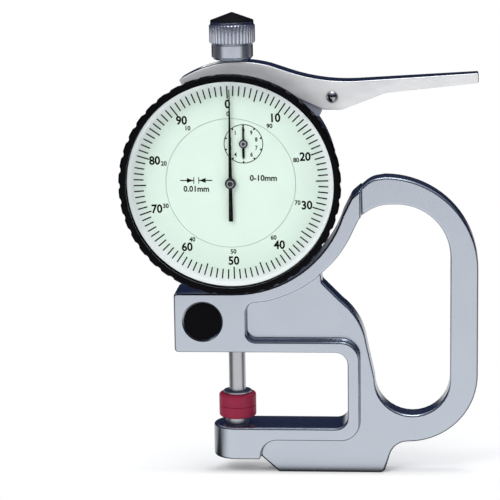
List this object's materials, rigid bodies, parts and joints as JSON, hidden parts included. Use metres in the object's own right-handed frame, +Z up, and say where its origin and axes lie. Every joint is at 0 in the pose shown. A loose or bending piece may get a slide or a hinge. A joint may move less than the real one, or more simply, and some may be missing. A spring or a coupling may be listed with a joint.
{
  "type": "dial thickness gauge",
  "caption": "Hand dial thickness gauge: a cast C-frame with a loop handle holds a dial indicator whose spindle closes on an anvil, lifted by a knob or a finger lever.",
  "frame": {"origin": "middle of the flat face that the gauge stands on", "axes": "+Z up along the spindle axis, the dial faces -Y, the handle lies towards +X"},
  "size_m": [0.0936, 0.0247, 0.124],
  "materials": {
    "frame_paint": "silver grey paint",
    "black_plastic": "satin black",
    "steel": "turned steel",
    "bronze": "turned bronze",
    "case_metal": "satin",
    "brass": "satin brass",
    "jewel": "polished",
    "spring_blue": "blued",
    "dial_face": "pale enamel",
    "polished_steel": "polished",
    "red_face": "gloss",
    "pointer_black": "satin black",
    "hub_metal": "dark plated",
    "crystal": "clear"
  },
  "bodies": {
    "root": {"frame": "frame_paint", "front_cotter": "black_plastic", "rear_cotter": "steel", "clamp_screw": "steel", "anvil_holder": "steel", "anvil_face": "red_face", "stem": "steel", "stem_bush": "bronze", "upper_bush": "bronze", "indicator_case": "case_metal", "back_cover": "case_metal", "cover_screws": "steel", "middle_plate": "brass", "front_plate": "brass", "plate_pillars": "brass", "plate_screws": "steel", "pivot_jewels": "jewel", "pinion_cock": "brass", "cock_screws": "steel", "hairspring": "spring_blue", "hairspring_stud": "brass", "dial_centre": "dial_face", "bezel_wire": "steel", "return_spring": "steel", "spring_anchor": "steel", "spindle_guide": "brass", "lever_bracket": "case_metal", "bracket_screws": "steel", "lever_rivet": "steel"},
    "spindle_unit": {"spindle": "steel", "guide_pin": "steel", "contact_collar": "steel", "contact_face": "red_face", "lift_knob": "steel", "knob_cap": "black_plastic"},
    "rack_wheel": {"rack_pinion": "brass", "transfer_gear": "brass"},
    "pointer_unit": {"centre_pinion": "brass", "main_pointer": "pointer_black", "pointer_hub": "hub_metal"},
    "takeup_wheel": {"takeup_arbor": "brass", "takeup_gear": "brass", "counter_pointer": "pointer_black"},
    "lever_unit": {"lift_lever": "polished_steel"},
    "bezel_unit": {"bezel": "black_plastic", "crystal": "crystal", "dial_ring": "dial_face"}
  },
  "joints": [
    {"name": "spindle_slide", "type": "slide", "parent": "root", "child": "spindle_unit", "axis": [0, 0, 1], "range_m": [0, 0.01], "stiffness_N_per_m": 20, "springref_m": -0.05, "deforming": ["return_spring"]},
    {"name": "main_pointer_turn", "type": "hinge", "parent": "root", "child": "pointer_unit", "pos_m": [-0.0254, -0.011, 0.0803], "axis": [0, 1, 0], "range_deg": [0, 3600]},
    {"name": "rack_wheel_turn", "type": "hinge", "parent": "root", "child": "rack_wheel", "pos_m": [-0.02889, -0.005, 0.06993], "axis": [0, 1, 0], "range_deg": [-360, 0]},
    {"name": "counter_turn", "type": "hinge", "parent": "root", "child": "takeup_wheel", "pos_m": [-0.02191, -0.005, 0.09067], "axis": [0, 1, 0], "range_deg": [-360, 0]},
    {"name": "lever_lift", "type": "hinge", "parent": "root", "child": "lever_unit", "pos_m": [0.00093, 0, 0.102], "axis": [0, 1, 0], "range_deg": [0, 20.6]},
    {"name": "bezel_turn", "type": "hinge", "parent": "root", "child": "bezel_unit", "pos_m": [-0.0254, -0.011, 0.0803], "axis": [0, 1, 0], "continuous": true}
  ],
  "couplings": [
    {"joint": "main_pointer_turn", "follows": "spindle_slide", "rad_per_m": 6283.2},
    {"joint": "rack_wheel_turn", "follows": "spindle_slide", "rad_per_m": -628.32},
    {"joint": "counter_turn", "follows": "spindle_slide", "rad_per_m": -628.32},
    {"joint": "lever_lift", "follows": "spindle_slide", "rad_per_m": 35.9}
  ]
}
